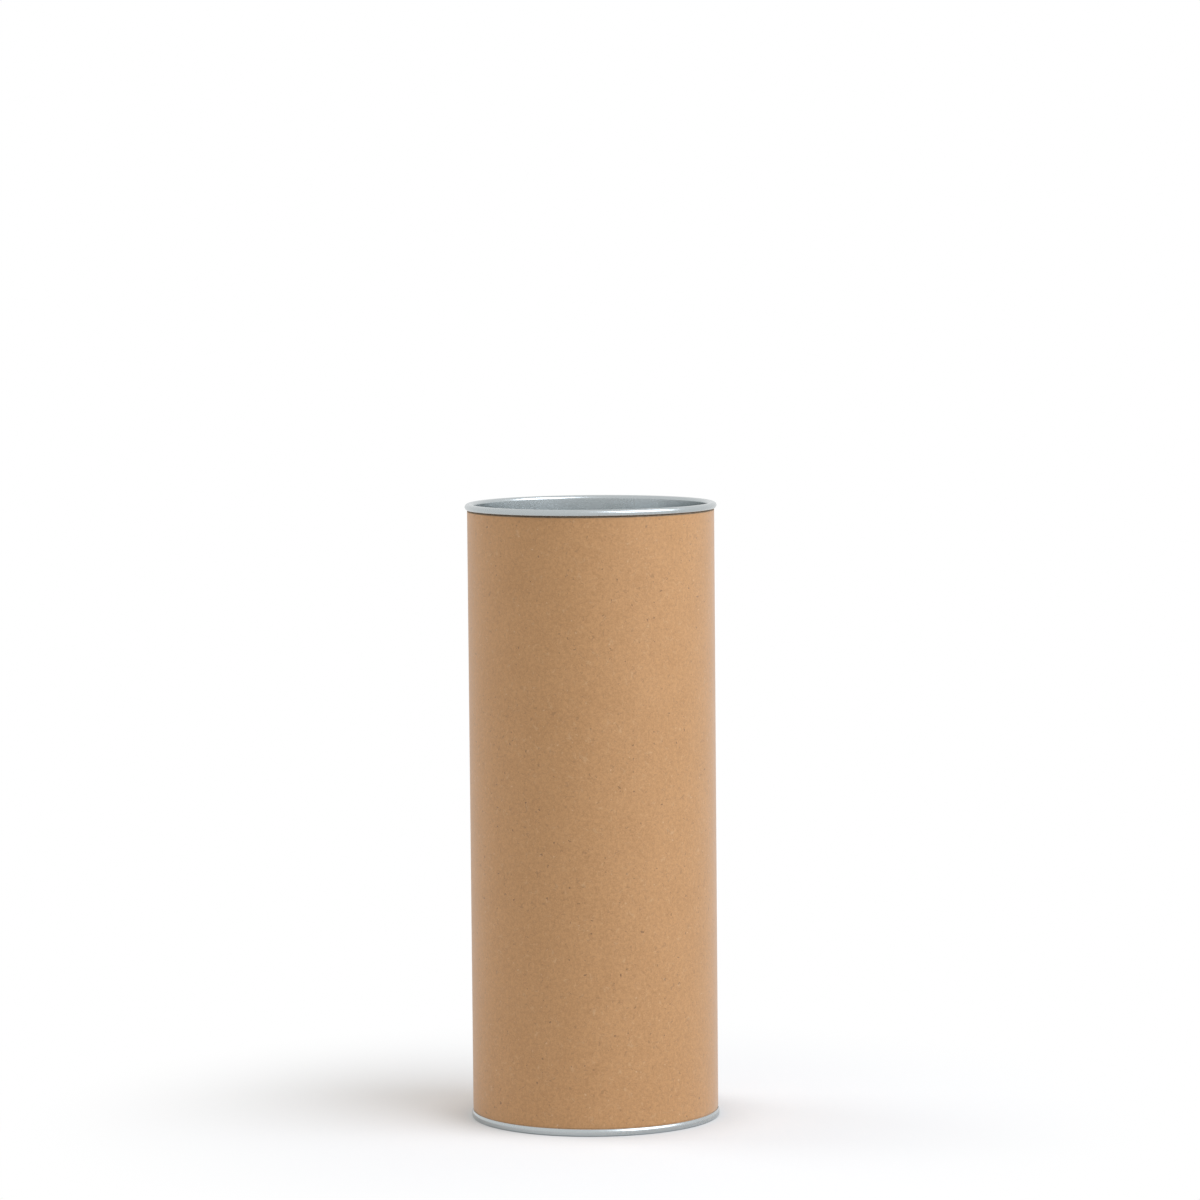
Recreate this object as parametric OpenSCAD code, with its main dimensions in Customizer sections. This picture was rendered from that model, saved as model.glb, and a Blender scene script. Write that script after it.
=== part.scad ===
// Gift tube: a kraft-wrapped paper tube, wound from strips of board, with a tinplate bottom end
// rolled onto it and a tinplate plug lid in its mouth. Z is the tube's axis and z = 0 its base.

/* [Tube] */
// Outside diameter of the tube, over the kraft wrap
tube_od = 83; // [65:1:105]
// Length of the tube from cut edge to cut edge
tube_len = 205.2; // [120:0.2:300]
// Radius on the outer corner of the open cut edge
mouth_round = 0.4; // [0.1:0.05:0.5]
// Radius on the inner corner of the open cut edge, which leads the lid in
mouth_lead = 0.2; // [0.1:0.05:0.4]

/* [Paper] */
// Thickness of the kraft wrap
wrap_t = 0.2; // [0.1:0.05:0.3]
// Width of the glued overlap of the wrap, at the back
lap_w = 9; // [5:0.5:20]
// Length over which the wrap climbs onto its own edge
lap_ramp = 3; // [2:0.5:6]
// Thickness of each of the three board plies
board_t = 0.4; // [0.3:0.05:0.6]
// Thickness of the paper liner
liner_t = 0.2; // [0.1:0.05:0.3]
// Width of the strips that the board plies and the liner are wound from
strip_w = 110; // [80:5:140]
// Gap between the edges of a wound strip, measured round the tube
strip_gap = 0.5; // [0.3:0.1:1]
// Turn from one ply's seam to the next one's, in degrees
seam_turn = 80; // [40:5:110]

/* [Tinplate] */
// Thickness of the tinplate
sheet_t = 0.25; // [0.2:0.01:0.3]

/* [Lid] */
// Height of the rolled rim
roll_h = 2.3; // [1.9:0.1:3]
// How far the rolled rim stands out past the tube
roll_overhang = 0.8; // [0.5:0.1:1.2]
// Radius of the rim's own edge, tucked up inside the roll
tuck_r = 0.75; // [0.6:0.05:0.9]
// Turn of the tucked edge, in degrees
tuck_turn = 110; // [60:5:150]
// Depth of the dish, from the rim's crown to the groove round its floor
dish_depth = 10; // [7:0.5:20]
// Radius between the plug wall and the floor of the dish
dish_corner = 1.5; // [1:0.1:2.5]
// Width of the groove round the floor of the dish
dish_groove = 4; // [2:0.5:8]
// Height of the raised panel in the dish
dish_panel_h = 0.8; // [0.4:0.1:1.5]
// Width of the slope from the groove up to the panel
dish_slope_w = 1.6; // [1:0.1:3]
// Clearance between the lid's plug wall and the liner
plug_clear = 0.1; // [0.05:0.01:0.2]
// How much smaller the plug wall's radius is at its foot
plug_taper = 0.2; // [0.1:0.05:0.4]
// Gap between the closed lid's rim and the tube's cut edge
seat_clear = 0.02; // [0.01:0.01:0.05]

/* [Bottom end] */
// Height of the skirt outside the tube
skirt_h = 2.4; // [2:0.1:4]
// Height of the skirt's rolled-in edge
hook_h = 1; // [0.6:0.1:1.4]
// How far the rolled-in edge bites into the paper
hook_bite = 0.2; // [0.1:0.05:0.3]
// How far the paper spreads inside the skirt
paper_flare = 0.15; // [0.1:0.05:0.3]
// Height above the skirt over which the pinched paper returns to its size
pinch_h = 0.7; // [0.4:0.1:1.5]
// Inside radius of the bends at the foot of the channel
channel_bend = 0.3; // [0.2:0.05:0.4]
// How much rounder the paper's cut edge is than the bends that it stands in
bend_clear = 0.1; // [0.05:0.05:0.2]
// Height of the countersink's crest above the base
sink_h = 4.6; // [4:0.1:7]
// Radius of the countersink's crest
sink_crest = 1; // [0.8:0.1:1.2]
// Drop from the countersink's crest to the panel
sink_drop = 1.9; // [1.8:0.1:3]
// Inside radius of the bend between the countersink and the panel
panel_bend = 0.5; // [0.3:0.05:0.55]
// Radius of the ring bead pressed into the panel
bead_r = 24; // [15:1:26]
// Width of the ring bead
bead_w = 5; // [3:0.5:8]
// Height of the ring bead
bead_h = 0.5; // [0.3:0.1:1]

/* [Hidden] */
$fn = 96;

kraft = [0.72, 0.55, 0.39];
board = [0.55, 0.46, 0.37];
liner_kraft = [0.77, 0.62, 0.46];
tinplate = [0.74, 0.76, 0.77];

// Steps in a quarter of a round corner, and in each eased stretch of a section
arc_n = 8;
ease_n = 6;
// Steps of a strip's seam for each turn round the tube, and how far its cut runs past the tube's ends
seam_steps = 60;
seam_past = 1;

// Radii of the wall's layers, from the wrap's outside in to the bore
tube_r = tube_od / 2;
board_plies = 3;
board_r = tube_r - wrap_t;
liner_r = board_r - board_plies * board_t;
bore_r = liner_r - liner_t;
wall = tube_r - bore_r;

// Heights: the tube stands on the channel's floor, and the closed lid on the tube
foot_z = sheet_t;
mouth_z = foot_z + tube_len;
seat_z = mouth_z + seat_clear;
rim_z = seat_z + roll_h;
floor_z = rim_z - dish_depth;

// The skirt holds the spread paper up to hook_z, closes on it up to its edge at skirt_h, and above
// the edge the paper is back at full size at clear_z
hook_z = skirt_h - hook_h;
clear_z = skirt_h + pinch_h;
foot_round = channel_bend + bend_clear;

function ease(t) = (1 - cos(180 * t)) / 2;
function reversed(p) = [for (i = [len(p) - 1:-1:0]) p[i]];
function after_first(p) = [for (i = [1:len(p) - 1]) p[i]];

// Points on a stretch of an oval with the half sizes given, and of a circle
function oval(centre, half, from, to) = let (n = ceil(abs(to - from) / 90 * arc_n)) [
    for (i = [0:n]) let (a = from + (to - from) * i / n) centre + [half.x * cos(a), half.y * sin(a)]
];
function arc(centre, r, from, to) = oval(centre, [r, r], from, to);

// How far the wall's outer face moves out at height z
function spread(z) =
    z <= hook_z ? paper_flare
    : z <= skirt_h ? paper_flare - (paper_flare + hook_bite) * ease((z - hook_z) / hook_h)
    : z < clear_z ? -hook_bite * ease((clear_z - z) / pinch_h)
    : 0;

// Radius at height z of a layer that has radius r in the plain wall: the bore keeps its size
function layer_r(r, z) = r + spread(z) * (r - bore_r) / wall;

// How far a corner of radius e has fallen away at distance d from its face, and the heights of the
// tube's two cut edges at radius r
function corner_drop(d, e) = d >= e ? 0 : e - sqrt(e * e - pow(e - max(d, 0), 2));
function cut_top(r) =
    mouth_z - corner_drop(tube_r - r, mouth_round) - corner_drop(r - bore_r, mouth_lead);
function cut_foot(r) =
    foot_z + corner_drop(tube_r - r, foot_round) + corner_drop(r - bore_r, foot_round);

// Heights at which the wall's outer face changes, up to the skirt's edge and above it
hook_levels = [for (i = [0:ease_n]) hook_z + hook_h * i / ease_n];
pinch_levels = [for (i = [1:ease_n]) skirt_h + pinch_h * i / ease_n];
wall_levels = concat(hook_levels, pinch_levels);

// Half section of one layer of the wall
function layer_section(r_in, r_out) = let (
    across = [for (i = [0:ease_n]) r_in + (r_out - r_in) * i / ease_n]
) concat(
    [for (r = across) [layer_r(r, cut_foot(r)), cut_foot(r)]],
    [for (z = wall_levels) [layer_r(r_out, z), z]],
    [for (r = reversed(across)) [r, cut_top(r)]],
    [for (z = reversed(wall_levels)) [layer_r(r_in, z), z]]
);

// Half section of a metal sheet whose left face runs along the points of a path
function right_normal(a, b) = let (d = b - a) [d.y, -d.x] / norm(d);
function right_face(path) = let (last = len(path) - 1) [
    for (i = [0:last]) let (
        before = i == 0 ? right_normal(path[0], path[1]) : right_normal(path[i - 1], path[i]),
        after = i == last ? before : right_normal(path[i], path[i + 1])
    ) path[i] + sheet_t * (before + after) / (1 + before * after)
];
function sheet_section(path) = concat(path, reversed(right_face(path)));

module turned(section) rotate_extrude() polygon(section);

// The cut between the edges of a strip wound in a helix, through the layer from r_in to r_out
module strip_seam(r_in, r_out, start) {
    round_r = (r_in + r_out) / 2;
    through = 3 * (r_out - r_in);
    lead = 2 * PI * round_r * tan(asin(strip_w / (2 * PI * round_r)));
    cut_len = tube_len + 2 * seam_past;
    turns = cut_len / lead;
    rotate(start) translate([0, 0, foot_z - seam_past])
        linear_extrude(cut_len, twist = -360 * turns, slices = ceil(seam_steps * turns), segments = 4)
            translate([round_r, 0]) square([through, strip_gap], center = true);
}

module wound_layer(r_in, r_out, start) {
    difference() {
        turned(layer_section(r_in, r_out));
        strip_seam(r_in, r_out, start);
    }
}

module board_ply(i) {
    color(board) wound_layer(board_r - (i + 1) * board_t, board_r - i * board_t, i * seam_turn);
}

// The kraft sheet, once round the tube, with its outer end lapped over the inner one
module outer_wrap() {
    lap_angle = lap_w / tube_r * 180 / PI;
    ramp_angle = lap_ramp / tube_r * 180 / PI;
    lap_r = tube_r + wrap_t;
    sunk_r = tube_r - wrap_t / 2;
    lap_h = mouth_z - mouth_round - clear_z;
    color(kraft) union() {
        turned(layer_section(board_r, tube_r));
        rotate(90 - lap_angle / 2) translate([0, 0, clear_z]) {
            rotate_extrude(angle = lap_angle) translate([sunk_r, 0]) square([lap_r - sunk_r, lap_h]);
            linear_extrude(lap_h) polygon([
                [sunk_r, 0], [lap_r, 0],
                tube_r * [cos(ramp_angle), -sin(ramp_angle)],
                sunk_r * [cos(ramp_angle), -sin(ramp_angle)]
            ]);
        }
    }
}

module outer_board_ply() board_ply(0);
module middle_board_ply() board_ply(1);
module inner_board_ply() board_ply(2);
module liner() color(liner_kraft) wound_layer(bore_r, liner_r, board_plies * seam_turn);

// The end's upper face, from its centre out over the bead and the countersink, down the bore and
// round under the paper, and up inside the skirt to its rolled-in edge
function end_path() = let (
    panel_z = sink_h - sink_drop,
    crest = [bore_r - sink_crest, sink_h - sink_crest],
    skirt_r = tube_r + paper_flare,
    bend_z = foot_z + channel_bend,
    bead_n = 2 * ease_n
) concat(
    [[0, panel_z]],
    [for (i = [0:bead_n]) [
        bead_r + bead_w * (i / bead_n - 0.5), panel_z + bead_h * pow(sin(180 * i / bead_n), 2)
    ]],
    arc([crest.x - sink_crest - panel_bend, panel_z + panel_bend], panel_bend, -90, 0),
    arc(crest, sink_crest, 180, 0),
    arc([bore_r + channel_bend, bend_z], channel_bend, 180, 270),
    arc([skirt_r - channel_bend, bend_z], channel_bend, -90, 0),
    [for (z = hook_levels) [tube_r + spread(z), z]]
);

module bottom_end() color(tinplate) turned(sheet_section(end_path()));

// The lid's upper face, from the middle of its panel out over the groove, up the plug wall, over
// the rolled rim and in under it to the tucked edge
function lid_path() = let (
    plug_r = bore_r - plug_clear - sheet_t,
    foot_r = plug_r - plug_taper,
    slope_r = foot_r - dish_corner - dish_groove,
    roll_w = tube_r + roll_overhang - plug_r,
    roll_x = plug_r + roll_w / 2
) concat(
    [[0, floor_z + dish_panel_h]],
    [for (i = [0:ease_n]) [
        slope_r - dish_slope_w * (1 - i / ease_n), floor_z + dish_panel_h * (1 - ease(i / ease_n))
    ]],
    arc([foot_r - dish_corner, floor_z + dish_corner], dish_corner, -90, 0),
    oval([roll_x, seat_z + roll_h / 2], [roll_w, roll_h] / 2, 180, -90),
    after_first(arc([roll_x, seat_z + tuck_r], tuck_r, -90, -90 - tuck_turn))
);

module lid() color(tinplate) turned(sheet_section(lid_path()));

outer_wrap();
outer_board_ply();
middle_board_ply();
inner_board_ply();
liner();
bottom_end();
lid();
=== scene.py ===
"""The looks of the gift tube: kraft paper, cut board and tinplate, in plain studio light."""

import math

import bpy
from mathutils import Matrix, Vector


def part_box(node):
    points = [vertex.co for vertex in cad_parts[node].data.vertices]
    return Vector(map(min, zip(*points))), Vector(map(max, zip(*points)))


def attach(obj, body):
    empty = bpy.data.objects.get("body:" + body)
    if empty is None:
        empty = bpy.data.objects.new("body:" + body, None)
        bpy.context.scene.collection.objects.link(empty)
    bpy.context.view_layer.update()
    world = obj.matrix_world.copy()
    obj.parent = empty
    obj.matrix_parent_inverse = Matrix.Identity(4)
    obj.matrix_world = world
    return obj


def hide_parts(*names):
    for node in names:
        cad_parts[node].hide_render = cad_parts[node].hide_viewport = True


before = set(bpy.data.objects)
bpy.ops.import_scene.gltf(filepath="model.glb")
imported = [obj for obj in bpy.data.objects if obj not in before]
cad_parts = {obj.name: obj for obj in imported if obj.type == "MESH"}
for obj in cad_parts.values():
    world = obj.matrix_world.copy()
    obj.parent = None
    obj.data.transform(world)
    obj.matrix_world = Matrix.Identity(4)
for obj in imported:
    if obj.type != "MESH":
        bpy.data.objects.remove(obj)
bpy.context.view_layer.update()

MM = 0.001

# The tube's wall, in millimetres: radii of the wrap's outside and inside, and of the liner
TUBE_R = 41.5
WRAP_T = 0.2
BOARD_R = TUBE_R - WRAP_T
LINER_R = 40.1
BORE_R = 39.9
WALL = TUBE_R - BORE_R

# Heights from the frame, the tin's thickness, and the paper's foot, which stands on the tin
MOUTH_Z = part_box("inner_board_ply")[1].z / MM
RIM_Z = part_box("lid")[1].z / MM
SINK_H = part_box("bottom_end")[1].z / MM
SHEET_T = 0.25
FOOT_Z = SHEET_T

# The cut edges
MOUTH_ROUND = 0.4
MOUTH_LEAD = 0.2
FOOT_ROUND = 0.4

# The skirt of the bottom end and the paper inside and just above it
SKIRT_H = 2.4
HOOK_H = 1.0
HOOK_BITE = 0.2
PAPER_FLARE = 0.15
PINCH_H = 0.7
HOOK_Z = SKIRT_H - HOOK_H
CLEAR_Z = SKIRT_H + PINCH_H
CHANNEL_BEND = 0.3

# The rest of the bottom end
SINK_CREST = 1.0
SINK_DROP = 1.9
PANEL_BEND = 0.5
BEAD_R = 24.0
BEAD_W = 5.0
BEAD_H = 0.5

# The wrap's lap at the back: its width, its ramp, the width of its cut edge, and the angle of that edge
LAP_W = 9.0
LAP_RAMP = 3.0
LAP_EDGE_W = 0.15
LAP_EDGE = math.pi / 2 + LAP_W / TUBE_R / 2

# The liner's strip: its width, its open seam, and where the seam starts, below the foot and round the tube
STRIP_W = 110.0
STRIP_GAP = 0.5
SEAM_PAST = 1.0
LINER_START = math.radians(240)

# The lid
ROLL_H = 2.3
SEAT_Z = RIM_Z - ROLL_H
ROLL_OUT_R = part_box("lid")[1].x / MM
TUCK_R = 0.75
TUCK_TURN = 110
DISH_DEPTH = 10.0
FLOOR_Z = RIM_Z - DISH_DEPTH
DISH_CORNER = 1.5
DISH_GROOVE = 4.0
DISH_PANEL_H = 0.8
DISH_SLOPE_W = 1.6
PLUG_CLEAR = 0.1
PLUG_R = BORE_R - PLUG_CLEAR - SHEET_T
PLUG_TAPER = 0.2

# Fineness of the meshes: columns round the axis, and steps in a quarter of a round corner, across the paper,
# at the pinch, up the hook, over the bead, down the panel's slope and over the liner's strip
COLUMNS = 256
ARC_N = 14
ACROSS_N = 6
PINCH_N = 20
HOOK_N = 14
BEAD_N = 24
SLOPE_N = 16
STRIP_N = 48

# The longest straight step
LONGEST = 4.0

# The wall's straight stretch ends this far below the rounded corner
BELOW_ROUND = 0.2

# Points nearer the axis than this are on it, and a thinner column of the liner's strip is left out
ON_AXIS = 1e-6
THINNEST = 0.05

# An edge that turns by more degrees than this is shaded as a sharp one
SHARP_TURN = 50


def ease(t):
    return (1 - math.cos(math.pi * t)) / 2


def lerp(a, b, t):
    return a + (b - a) * t


def oval(centre, half, start, end):
    """Points on a stretch of an oval, given its half sizes and two angles in degrees."""
    n = math.ceil(abs(end - start) / 90 * ARC_N)
    angles = [math.radians(lerp(start, end, i / n)) for i in range(n + 1)]
    return [(centre[0] + half[0] * math.cos(a), centre[1] + half[1] * math.sin(a)) for a in angles]


def arc(centre, r, start, end):
    return oval(centre, (r, r), start, end)


def line(a, b, n):
    """n points from a to b, without either end."""
    return [(lerp(a[0], b[0], i / (n + 1)), lerp(a[1], b[1], i / (n + 1))) for i in range(1, n + 1)]


def subdivided(path, longest):
    """The path with points added, so that no stretch is longer than that."""
    out = [path[0]]
    for a, b in zip(path, path[1:]):
        out += line(a, b, math.ceil(math.dist(a, b) / longest) - 1)
        out.append(b)
    return out


def right_face(path, thickness):
    """The path moved to its right by the sheet's thickness, with mitred corners."""
    normals = []
    for (ax, ay), (bx, by) in zip(path, path[1:]):
        length = math.hypot(bx - ax, by - ay)
        normals.append(((by - ay) / length, (ax - bx) / length))
    out = []
    for i, (x, y) in enumerate(path):
        (ux, uy), (vx, vy) = normals[max(i - 1, 0)], normals[min(i, len(normals) - 1)]
        k = thickness / (1 + ux * vx + uy * vy)
        out.append((x + k * (ux + vx), y + k * (uy + vy)))
    return out


def sheet_section(path):
    return path + right_face(path, SHEET_T)[::-1]


def mesh_object(name, verts, faces, body, node, materials, face_materials=None):
    """A smooth-shaded piece that stands for a node, from points in millimetres."""
    mesh = bpy.data.meshes.new(name)
    mesh.from_pydata([(x * MM, y * MM, z * MM) for x, y, z in verts], [], faces)
    for material in materials:
        mesh.materials.append(material)
    if face_materials:
        mesh.polygons.foreach_set("material_index", face_materials)
    mesh.polygons.foreach_set("use_smooth", [True] * len(mesh.polygons))
    mesh.validate()
    mesh.set_sharp_from_angle(angle=math.radians(SHARP_TURN))
    piece = bpy.data.objects.new(name, mesh)
    bpy.context.scene.collection.objects.link(piece)
    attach(piece, body)
    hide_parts(node)


def lathe(section, columns):
    """Vertices and faces of a closed section turned round the axis. A point on it becomes one vertex."""
    verts, faces, rows = [], [], []
    for r, z in section:
        count = 1 if r < ON_AXIS else columns
        rows.append(range(len(verts), len(verts) + count))
        for j in range(count):
            a = 2 * math.pi * j / columns
            verts.append((r * math.cos(a), r * math.sin(a), z))
    for low, high in zip(rows, rows[1:] + rows[:1]):
        if len(low) == len(high) == 1:
            continue
        for j in range(columns):
            k = (j + 1) % columns
            ring = [low[j % len(low)], low[k % len(low)], high[k % len(high)], high[j % len(high)]]
            faces.append([v for n, v in enumerate(ring) if v not in ring[:n]])
    return verts, faces


def spread(z):
    """How far the wall's outer face moves out at height z."""
    if z <= HOOK_Z:
        return PAPER_FLARE
    if z <= SKIRT_H:
        return PAPER_FLARE - (PAPER_FLARE + HOOK_BITE) * ease((z - HOOK_Z) / HOOK_H)
    if z < CLEAR_Z:
        return -HOOK_BITE * ease((CLEAR_Z - z) / PINCH_H)
    return 0.0


def layer_r(r, z):
    return r + spread(z) * (r - BORE_R) / WALL


def corner_drop(d, e):
    return 0.0 if d >= e else e - math.sqrt(e * e - (e - max(d, 0.0)) ** 2)


def cut_top(r):
    return MOUTH_Z - corner_drop(TUBE_R - r, MOUTH_ROUND) - corner_drop(r - BORE_R, MOUTH_LEAD)


def cut_foot(r):
    return FOOT_Z + corner_drop(TUBE_R - r, FOOT_ROUND) + corner_drop(r - BORE_R, FOOT_ROUND)


def wall_heights():
    """Heights from the hook to the mouth's rounded corner, close together up to the end of the pinch."""
    fine = [lerp(HOOK_Z, CLEAR_Z, i / PINCH_N) for i in range(PINCH_N + 1)]
    top = MOUTH_Z - MOUTH_ROUND - BELOW_ROUND
    n = math.ceil((top - CLEAR_Z) / LONGEST)
    return fine + [lerp(CLEAR_Z, top, i / n) for i in range(1, n + 1)]


def end_path():
    """The bottom end's upper face, from its centre out, down the bore, under the paper and up the skirt."""
    panel_z = SINK_H - SINK_DROP
    crest = (BORE_R - SINK_CREST, SINK_H - SINK_CREST)
    skirt_r = TUBE_R + PAPER_FLARE
    bend_z = FOOT_Z + CHANNEL_BEND
    bead = []
    for i in range(BEAD_N + 1):
        t = i / BEAD_N
        bead.append((BEAD_R + BEAD_W * (t - 0.5), panel_z + BEAD_H * math.sin(math.pi * t) ** 2))
    skirt = [lerp(HOOK_Z, SKIRT_H, i / HOOK_N) for i in range(HOOK_N + 1)]
    return (
        [(0.0, panel_z)]
        + bead
        + arc((crest[0] - SINK_CREST - PANEL_BEND, panel_z + PANEL_BEND), PANEL_BEND, -90, 0)
        + arc(crest, SINK_CREST, 180, 0)
        + arc((BORE_R + CHANNEL_BEND, bend_z), CHANNEL_BEND, 180, 270)
        + arc((skirt_r - CHANNEL_BEND, bend_z), CHANNEL_BEND, -90, 0)
        + [(TUBE_R + spread(z), z) for z in skirt]
    )


def lid_path():
    """The lid's upper face, from its centre out, over the groove, up the plug wall and round the rim."""
    foot_r = PLUG_R - PLUG_TAPER
    slope_r = foot_r - DISH_CORNER - DISH_GROOVE
    roll_w = ROLL_OUT_R - PLUG_R
    roll_x = PLUG_R + roll_w / 2
    slope = []
    for i in range(SLOPE_N + 1):
        t = i / SLOPE_N
        slope.append((slope_r - DISH_SLOPE_W * (1 - t), FLOOR_Z + DISH_PANEL_H * (1 - ease(t))))
    return (
        [(0.0, FLOOR_Z + DISH_PANEL_H)]
        + slope
        + arc((foot_r - DISH_CORNER, FLOOR_Z + DISH_CORNER), DISH_CORNER, -90, 0)
        + oval((roll_x, SEAT_Z + ROLL_H / 2), (roll_w / 2, ROLL_H / 2), 180, -90)
        + arc((roll_x, SEAT_Z + TUCK_R), TUCK_R, -90, -90 - TUCK_TURN)[1:]
    )


def metal_piece(name, path, body, node, material):
    """A pressed tinplate piece, turned from the path of its upper face."""
    verts, faces = lathe(sheet_section(subdivided(path, LONGEST)), COLUMNS)
    mesh_object(name, verts, faces, body, node, [material])


def layer_section(r_in, r_out):
    """A paper layer's section: along the foot, up the outside, back over the mouth and down the inside."""
    across = [lerp(r_in, r_out, i / ACROSS_N) for i in range(ACROSS_N + 1)]
    heights = wall_heights()
    return (
        [(layer_r(r, cut_foot(r)), cut_foot(r)) for r in across]
        + [(layer_r(r_out, z), z) for z in heights]
        + [(r, cut_top(r)) for r in across[::-1]]
        + [(layer_r(r_in, z), z) for z in heights[::-1]]
    )


def lap_share(angle):
    """The share of the lap's thickness at an angle: it climbs the ramp, and ends at the free edge."""
    ramp = LAP_RAMP / TUBE_R
    from_start = angle - (LAP_EDGE - LAP_W / TUBE_R)
    if angle > LAP_EDGE or from_start < -ramp:
        return 0.0
    return 1.0 if from_start >= 0 else 1 + from_start / ramp


def wrap_angles():
    """Angles of the wrap's columns, with two close ones at the free edge of the lap."""
    even = [2 * math.pi * j / COLUMNS for j in range(COLUMNS)]
    edge = [LAP_EDGE, LAP_EDGE + LAP_EDGE_W / TUBE_R]
    return sorted([a for a in even if not edge[0] <= a <= edge[1]] + edge)


def wrap_piece(kraft, cut_and_gap_shade):
    """The kraft sheet, once round the tube, lapped at the back."""
    section = layer_section(BOARD_R, TUBE_R)
    angles = wrap_angles()
    columns = len(angles)
    verts, faces, kinds = [], [], []
    for r, z in section:
        depth = (r - layer_r(BOARD_R, z)) / WRAP_T if z > CLEAR_Z else 0.0
        depth = min(max(depth, 0.0), 1.0)
        for a in angles:
            out_r = r + WRAP_T * depth * lap_share(a)
            verts.append((out_r * math.cos(a), out_r * math.sin(a), z))
    # Cut paper shows on the section's rows over the mouth, and on the free edge of the lap. Its colour is
    # partly the cut paper's own grey-brown and partly painted shade, made darker for the gap under the lid's
    # rim
    first_top = ACROSS_N + 1 + len(wall_heights())
    top = range(first_top, first_top + ACROSS_N)
    rows = len(section)
    for i in range(rows):
        low, high = i * columns, (i + 1) % rows * columns
        for j in range(columns):
            k = (j + 1) % columns
            faces.append((low + j, low + k, high + k, high + j))
            kinds.append(1 if i in top or angles[j] == LAP_EDGE else 0)
    mesh_object("kraft_wrap", verts, faces, "tube", "outer_wrap", [kraft, cut_and_gap_shade], kinds)


def strip_columns():
    """The liner's strip, column by column: the angle, and the strip's lower and upper edge there."""
    around = math.pi * (BORE_R + LINER_R)
    lead = around * STRIP_W / math.sqrt(around**2 - STRIP_W**2)
    half_gap = STRIP_GAP / around * lead / 2
    turn = 2 * math.pi
    seam_z = FOOT_Z - SEAM_PAST - LINER_START / turn * lead
    first = (FOOT_Z - seam_z) / lead * turn - turn
    last = (MOUTH_Z - seam_z) / lead * turn
    count = math.ceil((last - first) / turn * COLUMNS)
    columns = []
    for j in range(count + 1):
        a = lerp(first, last, j / count)
        edge_z = seam_z + a / turn * lead
        low = max(edge_z + half_gap, FOOT_Z + FOOT_ROUND)
        high = min(edge_z + lead - half_gap, MOUTH_Z - MOUTH_LEAD)
        if high - low > THINNEST:
            columns.append((a, low, high))
    return columns


def liner_piece(material):
    """The liner: one strip wound in a helix, whose edges leave a narrow gap."""
    columns = strip_columns()
    verts, faces = [], []
    for r in (BORE_R, LINER_R):
        for a, low, high in columns:
            for i in range(STRIP_N + 1):
                z = lerp(low, high, i / STRIP_N)
                verts.append((layer_r(r, z) * math.cos(a), layer_r(r, z) * math.sin(a), z))

    def at(side, column, i):
        return (side * len(columns) + column) * (STRIP_N + 1) + i

    # The strip's two faces and its two long edges, and then its two ends
    last = len(columns) - 1
    for j in range(last):
        for i in range(STRIP_N):
            faces.append((at(0, j, i), at(0, j, i + 1), at(0, j + 1, i + 1), at(0, j + 1, i)))
            faces.append((at(1, j, i), at(1, j + 1, i), at(1, j + 1, i + 1), at(1, j, i + 1)))
        for i, turned in ((0, False), (STRIP_N, True)):
            ring = (at(0, j, i), at(0, j + 1, i), at(1, j + 1, i), at(1, j, i))
            faces.append(ring[::-1] if turned else ring)
    for j, turned in ((0, True), (last, False)):
        for i in range(STRIP_N):
            ring = (at(0, j, i), at(0, j, i + 1), at(1, j, i + 1), at(1, j, i))
            faces.append(ring[::-1] if turned else ring)
    mesh_object("paper_liner", verts, faces, "tube", "liner", [material])


def add(tree, kind, inputs, **settings):
    """A shader node with its settings, and its inputs set or linked."""
    made = tree.nodes.new("ShaderNode" + kind)
    for key, value in settings.items():
        setattr(made, key, value)
    for key, value in inputs.items():
        if isinstance(value, bpy.types.NodeSocket):
            tree.links.new(value, made.inputs[key])
        else:
            made.inputs[key].default_value = value
    return made


def noise(tree, at, per_metre, detail=0.0, rough=0.5, distortion=0.0):
    values = {"Vector": at, "Scale": per_metre, "Detail": detail, "Roughness": rough}
    return add(tree, "TexNoise", {**values, "Distortion": distortion}).outputs["Fac"]


def step(tree, value, low, high, start=0.0, end=1.0):
    """A smooth change from start, where the value is low, to end, where it is high."""
    values = {"Value": value, "From Min": low, "From Max": high, "To Min": start, "To Max": end}
    return add(tree, "MapRange", values, interpolation_type="SMOOTHSTEP").outputs["Result"]


def maths(tree, operation, a, b=0.0):
    return add(tree, "Math", {0: a, 1: b}, operation=operation).outputs[0]


def vector(tree, operation, a, b):
    return add(tree, "VectorMath", {0: a, 1: b}, operation=operation).outputs[0]


def weighted(tree, *parts):
    """The sum of several values, each with its weight."""
    scaled = [maths(tree, "MULTIPLY", value, weight) for value, weight in parts]
    total = scaled[0]
    for value in scaled[1:]:
        total = maths(tree, "ADD", total, value)
    return total


# The Mix node's sockets for colours: the share, the two colours, and the result
MIX_SHARE = 0
MIX_A = 6
MIX_B = 7
MIX_OUT = 2


def mix(tree, share, a, b):
    """A colour between two, each a link or three numbers."""
    a, b = [c if isinstance(c, bpy.types.NodeSocket) else (*c, 1) for c in (a, b)]
    return add(tree, "Mix", {MIX_SHARE: share, MIX_A: a, MIX_B: b}, data_type="RGBA").outputs[MIX_OUT]


def tint(tree, colour, mask, strength, towards):
    """The colour, moved towards another where the mask is 1, by that strength."""
    return mix(tree, maths(tree, "MULTIPLY", mask, strength), colour, towards)


def bump(tree, height, strength, distance):
    values = {"Height": height, "Strength": strength, "Distance": distance}
    return add(tree, "Bump", values).outputs["Normal"]


def new_material(name):
    """A material with its node tree, its shader and the object's own coordinates, in metres."""
    material = bpy.data.materials.new(name)
    material.use_nodes = True
    tree = material.node_tree
    at = add(tree, "TexCoord", {}).outputs["Object"]
    return material, tree, tree.nodes["Principled BSDF"], at


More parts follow.
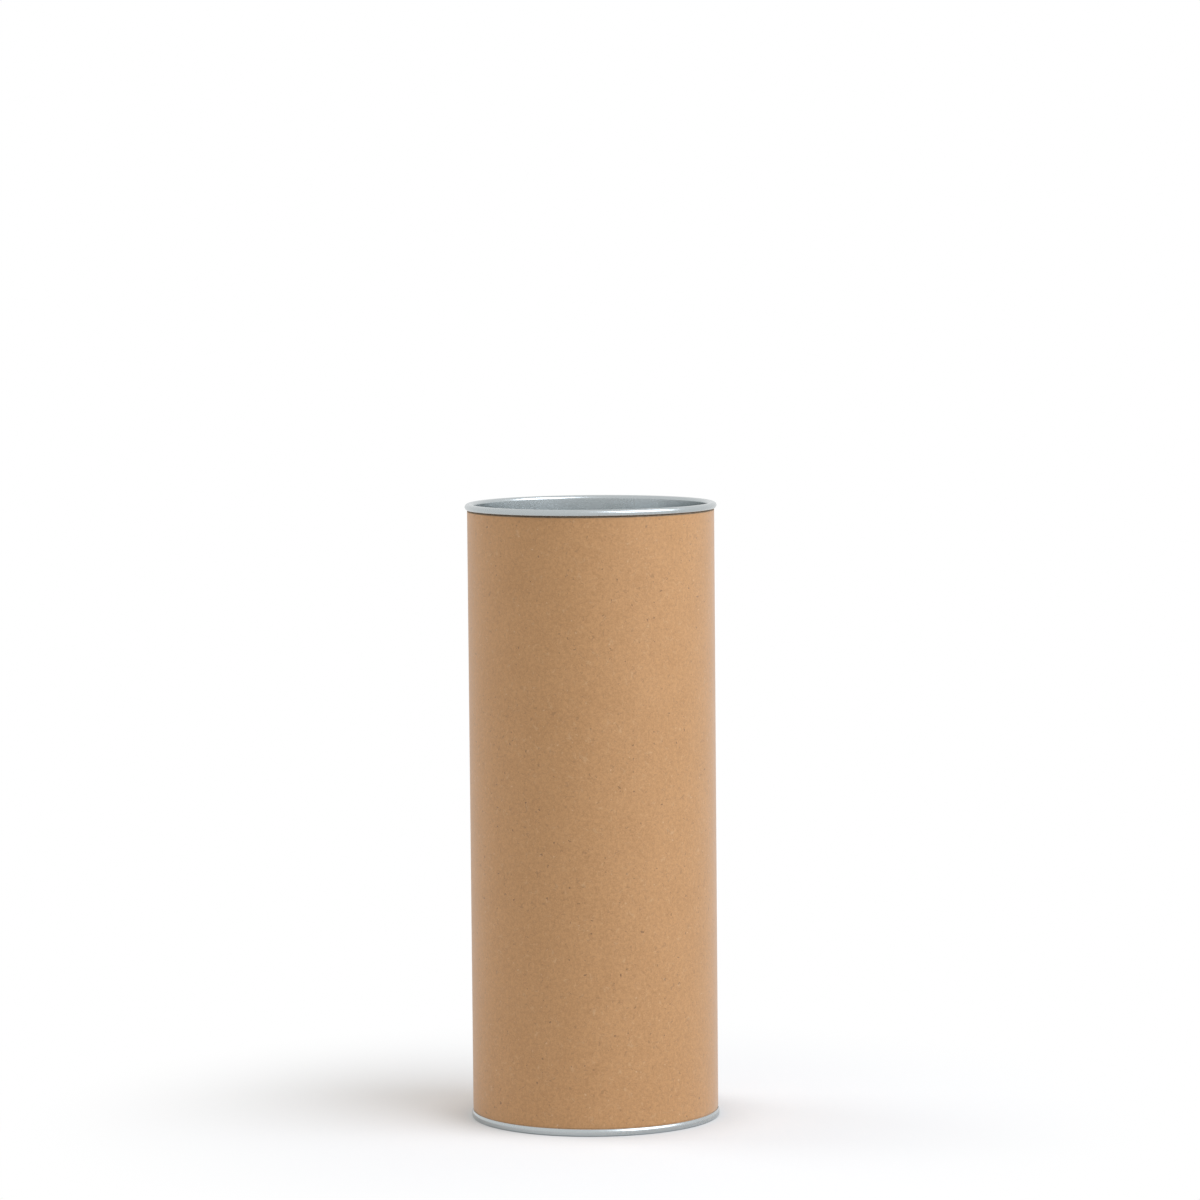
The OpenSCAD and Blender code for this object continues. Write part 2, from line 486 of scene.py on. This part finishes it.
def dress(tree, shader, colour, roughness, normal, **constants):
    """Links what varies over the surface, and sets what is the same all over it."""
    tree.links.new(colour, shader.inputs["Base Color"])
    tree.links.new(roughness, shader.inputs["Roughness"])
    tree.links.new(normal, shader.inputs["Normal"])
    for key, value in constants.items():
        shader.inputs[key.replace("_", " ")].default_value = value


def drifted(tree, at, seed, ratios):
    """The coordinates, moved to another part of the pattern: by the seed times a ratio along each axis."""
    return vector(tree, "ADD", at, tuple(seed * ratio for ratio in ratios))


def specks(tree, at, per_metre, radius, share, seed):
    """Small irregular specks, in that share of the cells of a loose grid."""
    wobbles_in_a_cell = 3.0
    widest_wobble = 0.9
    core = 0.5
    full_from = 0.6
    moved = drifted(tree, at, seed, (1.0, 0.7, 1.3))
    values = {"Vector": moved, "Scale": per_metre * wobbles_in_a_cell, "Detail": 2.0}
    wobble = add(tree, "TexNoise", values).outputs["Color"]
    centred = vector(tree, "SUBTRACT", wobble, (0.5, 0.5, 0.5))
    values = {0: centred, "Scale": widest_wobble / per_metre}
    shift = add(tree, "VectorMath", values, operation="SCALE").outputs[0]
    bent = vector(tree, "ADD", moved, shift)
    cells = add(tree, "TexVoronoi", {"Vector": bent, "Scale": per_metre})
    dot = step(tree, cells.outputs["Distance"], radius * core, radius, 1.0, 0.0)
    chance = add(tree, "SeparateColor", {"Color": cells.outputs["Color"]}).outputs["Red"]
    chosen = step(tree, chance, 1 - share, 1 - share * full_from)
    return maths(tree, "MULTIPLY", dot, chosen)


def curls(tree, at, per_metre, width, share, seed):
    """Short curled fibres: stretches of the middle contour of a noise."""
    breaks_per_contour = 1.3
    end_softness = 0.06
    moved = drifted(tree, at, seed, (1.0, 1.9, 0.4))
    field = noise(tree, moved, per_metre, distortion=0.6)
    off = maths(tree, "ABSOLUTE", maths(tree, "SUBTRACT", field, 0.5))
    thread = step(tree, off, 0.0, width, 1.0, 0.0)
    where = noise(tree, moved, per_metre * breaks_per_contour)
    pieces = step(tree, where, 1 - share, 1 - share + end_softness)
    return maths(tree, "MULTIPLY", thread, pieces)


def paper(name, light, dark, roughness, contrast):
    """Kraft paper: clouds, mottled pulp, dark specks, pale flecks and curled fibres, slightly in relief."""
    material, tree, shader, at = new_material(name)
    clouds = noise(tree, at, per_metre=75.0, detail=3.0, rough=0.6)
    mottle = noise(tree, at, per_metre=1000.0, detail=3.0, rough=0.6)
    grain = noise(tree, at, per_metre=2400.0, detail=2.0, rough=0.6)
    tone = weighted(tree, (clouds, 0.14), (mottle, 0.46), (grain, 0.4))
    dark_specks = specks(tree, at, per_metre=420.0, radius=0.17, share=0.34, seed=0.31)
    dark_threads = curls(tree, at, per_metre=420.0, width=0.028, share=0.44, seed=0.77)
    pale_flecks = specks(tree, at, per_metre=640.0, radius=0.2, share=0.14, seed=0.53)
    pale_threads = curls(tree, at, per_metre=360.0, width=0.03, share=0.45, seed=0.19)
    colour = mix(tree, step(tree, tone, 0.5 - contrast, 0.5 + contrast), dark, light)
    colour = tint(tree, colour, dark_threads, 0.3, SPECK)
    colour = tint(tree, colour, pale_threads, 0.18, FLECK)
    colour = tint(tree, colour, pale_flecks, 0.5, FLECK)
    colour = tint(tree, colour, dark_specks, 0.75, SPECK)
    relief = weighted(tree, (mottle, 0.6), (grain, 0.3), (pale_threads, 0.12))
    dress(
        tree,
        shader,
        colour,
        roughness=step(tree, mottle, 0.3, 0.7, roughness - 0.07, roughness + 0.07),
        normal=bump(tree, relief, strength=0.5, distance=0.12 * MM),
        Specular_IOR_Level=0.8,
        Sheen_Weight=0.4,
        Sheen_Roughness=0.4,
    )
    return material


def cut_board(name, light, dark):
    """Board where it has been cut: grey-brown, open fibres, with pits."""
    material, tree, shader, at = new_material(name)
    coarse = noise(tree, at, per_metre=700.0, detail=4.0, rough=0.7)
    fine = noise(tree, at, per_metre=3400.0, detail=2.0, rough=0.6)
    tone = weighted(tree, (coarse, 0.6), (fine, 0.4))
    pits = specks(tree, at, per_metre=900.0, radius=0.3, share=0.3, seed=0.91)
    colour = mix(tree, step(tree, tone, 0.34, 0.66), dark, light)
    dress(
        tree,
        shader,
        tint(tree, colour, pits, 0.5, dark),
        roughness=step(tree, fine, 0.3, 0.7, 0.8, 0.95),
        normal=bump(tree, tone, strength=0.7, distance=0.2 * MM),
        Specular_IOR_Level=0.25,
    )
    return material


def tinplate(name, bright, dull, roughness):
    """Tinplate: the fine straight grain of the rolled sheet, faint smears, bloom and scuffs."""
    material, tree, shader, at = new_material(name)
    along, across = 60.0, 2400.0
    stretched = vector(tree, "MULTIPLY", at, (along, across, across))
    grain = noise(tree, stretched, per_metre=1.0, detail=3.0, rough=0.6)
    smears = noise(tree, at, per_metre=45.0, detail=3.0, rough=0.55, distortion=0.8)
    bloom = noise(tree, at, per_metre=1500.0, detail=2.0)
    scuffs = curls(tree, at, per_metre=90.0, width=0.006, share=0.42, seed=0.27)
    tone = weighted(tree, (grain, 0.5), (bloom, 0.5))
    level = weighted(tree, (smears, 0.55), (grain, 0.45), (scuffs, 0.2))
    relief = weighted(tree, (grain, 1.0), (scuffs, 0.3))
    dress(
        tree,
        shader,
        mix(tree, step(tree, tone, 0.3, 0.7), dull, bright),
        roughness=step(tree, level, 0.3, 0.75, roughness - 0.04, roughness + 0.07),
        normal=bump(tree, relief, strength=0.02, distance=0.01 * MM),
        Metallic=1.0,
    )
    return material


# Linear colours of the dark specks and pale flecks in the paper
SPECK = (0.16, 0.075, 0.03)
FLECK = (0.82, 0.6, 0.38)

kraft = paper("kraft", light=(0.63, 0.336, 0.138), dark=(0.495, 0.248, 0.086), roughness=0.6, contrast=0.16)
liner = paper("liner_kraft", light=(0.68, 0.45, 0.26), dark=(0.55, 0.34, 0.18), roughness=0.72, contrast=0.13)
board = cut_board("tube_board", light=(0.36, 0.27, 0.19), dark=(0.21, 0.15, 0.1))
# Cut paper at the mouth: its own grey-brown, made darker as painted shade for the gap between the tube's
# mouth and the lid's rim
cut_and_gap_shade = cut_board("cut_kraft_and_gap_shade", light=(0.4, 0.28, 0.18), dark=(0.24, 0.16, 0.1))
tin = tinplate("tinplate", bright=(0.475, 0.51, 0.52), dull=(0.455, 0.49, 0.5), roughness=0.25)

wrap_piece(kraft, cut_and_gap_shade)
liner_piece(liner)
metal_piece("tin_bottom", end_path(), "tube", "bottom_end", tin)
metal_piece("tin_lid", lid_path(), "lid", "lid", tin)
for name in ("outer_board_ply", "middle_board_ply", "inner_board_ply"):
    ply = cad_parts[name]
    ply.data.materials.clear()
    ply.data.materials.append(board)


# Camera: a long lens that looks slightly down on the tube, and leans a little. Places are in metres
SENSOR = 36.0
LENS = 149.0
CLIP = (0.05, 50.0)
CAMERA_AT = (0.0029, -1.6654, 0.3094)
PITCH = 4.62
ROLL = -0.5


def make_camera():
    data = bpy.data.cameras.new("camera")
    data.sensor_width = SENSOR
    data.lens = LENS
    data.clip_start, data.clip_end = CLIP
    camera = bpy.data.objects.new("camera", data)
    down = Matrix.Rotation(math.radians(90 - PITCH), 4, "X")
    lean = Matrix.Rotation(math.radians(ROLL), 4, "Z")
    camera.matrix_world = Matrix.Translation(CAMERA_AT) @ down @ lean
    bpy.context.scene.collection.objects.link(camera)
    bpy.context.scene.camera = camera


def softbox(name, azimuth, elevation, distance, size, level, colour):
    """An area light aimed at the middle of the tube. A level of 1 by itself lights a white surface that faces
    it to white. Azimuth 0 is the camera's side, and 90 is the right."""
    data = bpy.data.lights.new(name, "AREA")
    data.shape = "RECTANGLE"
    data.size, data.size_y = size
    data.energy = level * math.pi**2 * distance**2
    data.color = colour
    light = bpy.data.objects.new(name, data)
    a, e = math.radians(azimuth), math.radians(elevation)
    back = Vector((math.sin(a) * math.cos(e), -math.cos(a) * math.cos(e), math.sin(e)))
    light.location = Vector((0, 0, AIM_Z)) + back * distance
    light.rotation_mode = "QUATERNION"
    light.rotation_quaternion = back.to_track_quat("Z", "Y")
    bpy.context.scene.collection.objects.link(light)
    return light


def seen_directly(tree):
    """1 for the rays of the camera and of mirror-like and clear surfaces, and 0 for the others."""
    rays = add(tree, "LightPath", {})
    total = rays.outputs["Is Camera Ray"]
    for kind in ("Is Glossy Ray", "Is Transmission Ray"):
        total = maths(tree, "MAXIMUM", total, rays.outputs[kind])
    return total


def make_world(ambient):
    """White where it is seen, and that even level of light elsewhere."""
    world = bpy.data.worlds.new("studio")
    bpy.context.scene.world = world
    world.use_nodes = True
    tree = world.node_tree
    values = {"Value": seen_directly(tree), "To Min": ambient, "To Max": 1.0}
    level = add(tree, "MapRange", values).outputs["Result"]
    background = tree.nodes["Background"]
    background.inputs["Color"].default_value = (1, 1, 1, 1)
    tree.links.new(level, background.inputs["Strength"])


def blend(tree, share, a, b):
    return add(tree, "MixShader", {0: share, 1: a, 2: b}).outputs[0]


def emission(tree, strength):
    return add(tree, "Emission", {"Strength": strength}).outputs[0]


def floor_material():
    """White that keeps the object's shadow, turns to plain white further out, and is clear from below."""
    material = bpy.data.materials.new("floor_white")
    material.use_nodes = True
    tree = material.node_tree
    tree.nodes.clear()
    diffuse = add(tree, "BsdfDiffuse", {"Color": FLOOR_COLOUR}).outputs[0]
    lifted = add(tree, "AddShader", {0: diffuse, 1: emission(tree, FLOOR_LIFT)}).outputs[0]
    contact = add(tree, "AmbientOcclusion", {"Distance": CONTACT_REACH}).outputs["AO"]
    shade = step(tree, contact, 0.0, 1.0, CONTACT_SHADE, 0.0)
    grounded = blend(tree, shade, lifted, emission(tree, 0.0))
    where = add(tree, "NewGeometry", {})
    values = {0: where.outputs["Position"]}
    length = add(tree, "VectorMath", values, operation="LENGTH").outputs["Value"]
    fade = step(tree, length, FADE_START, FADE_END)
    shown = blend(tree, fade, grounded, emission(tree, 1.0))
    from_above = blend(tree, seen_directly(tree), diffuse, shown)
    clear = add(tree, "BsdfTransparent", {}).outputs[0]
    add(tree, "OutputMaterial", {"Surface": blend(tree, where.outputs["Backfacing"], from_above, clear)})
    return material


def make_floor():
    mesh = bpy.data.meshes.new("floor")
    signs = [(-1, -1), (1, -1), (1, 1), (-1, 1)]
    mesh.from_pydata([(x * FLOOR_REACH, y * FLOOR_REACH, 0) for x, y in signs], [], [(0, 1, 2, 3)])
    mesh.materials.append(floor_material())
    floor = bpy.data.objects.new("floor", mesh)
    bpy.context.scene.collection.objects.link(floor)


# The even level of light, and the height in metres that the lamps are aimed at
AMBIENT = 0.39
AIM_Z = 0.1

# The floor, in metres: its colour, the glow that lifts it to white, its contact shadow's reach and darkness,
# where it fades to plain white, and how far it goes
FLOOR_COLOUR = (0.8, 0.8, 0.79, 1)
FLOOR_LIFT = 0.22
CONTACT_REACH = 0.03
CONTACT_SHADE = 0.5
FADE_START = 0.06
FADE_END = 0.2
FLOOR_REACH = 8.0

make_camera()
make_world(AMBIENT)
make_floor()

# A large, slightly cool key at the right, and a weaker lamp behind at the left that the tin doesn't mirror
KEY_COLOUR = (0.95, 1.0, 1.1)
RIM_COLOUR = (1.0, 1.0, 1.0)
softbox("key", azimuth=58, elevation=46, distance=1.3, size=(1.15, 1.15), level=0.79, colour=KEY_COLOUR)
rim = softbox("rim", azimuth=-112, elevation=25, distance=1.2, size=(0.6, 1.0), level=0.3, colour=RIM_COLOUR)
rim.visible_glossy = False

bpy.context.scene.view_settings.view_transform = "Standard"
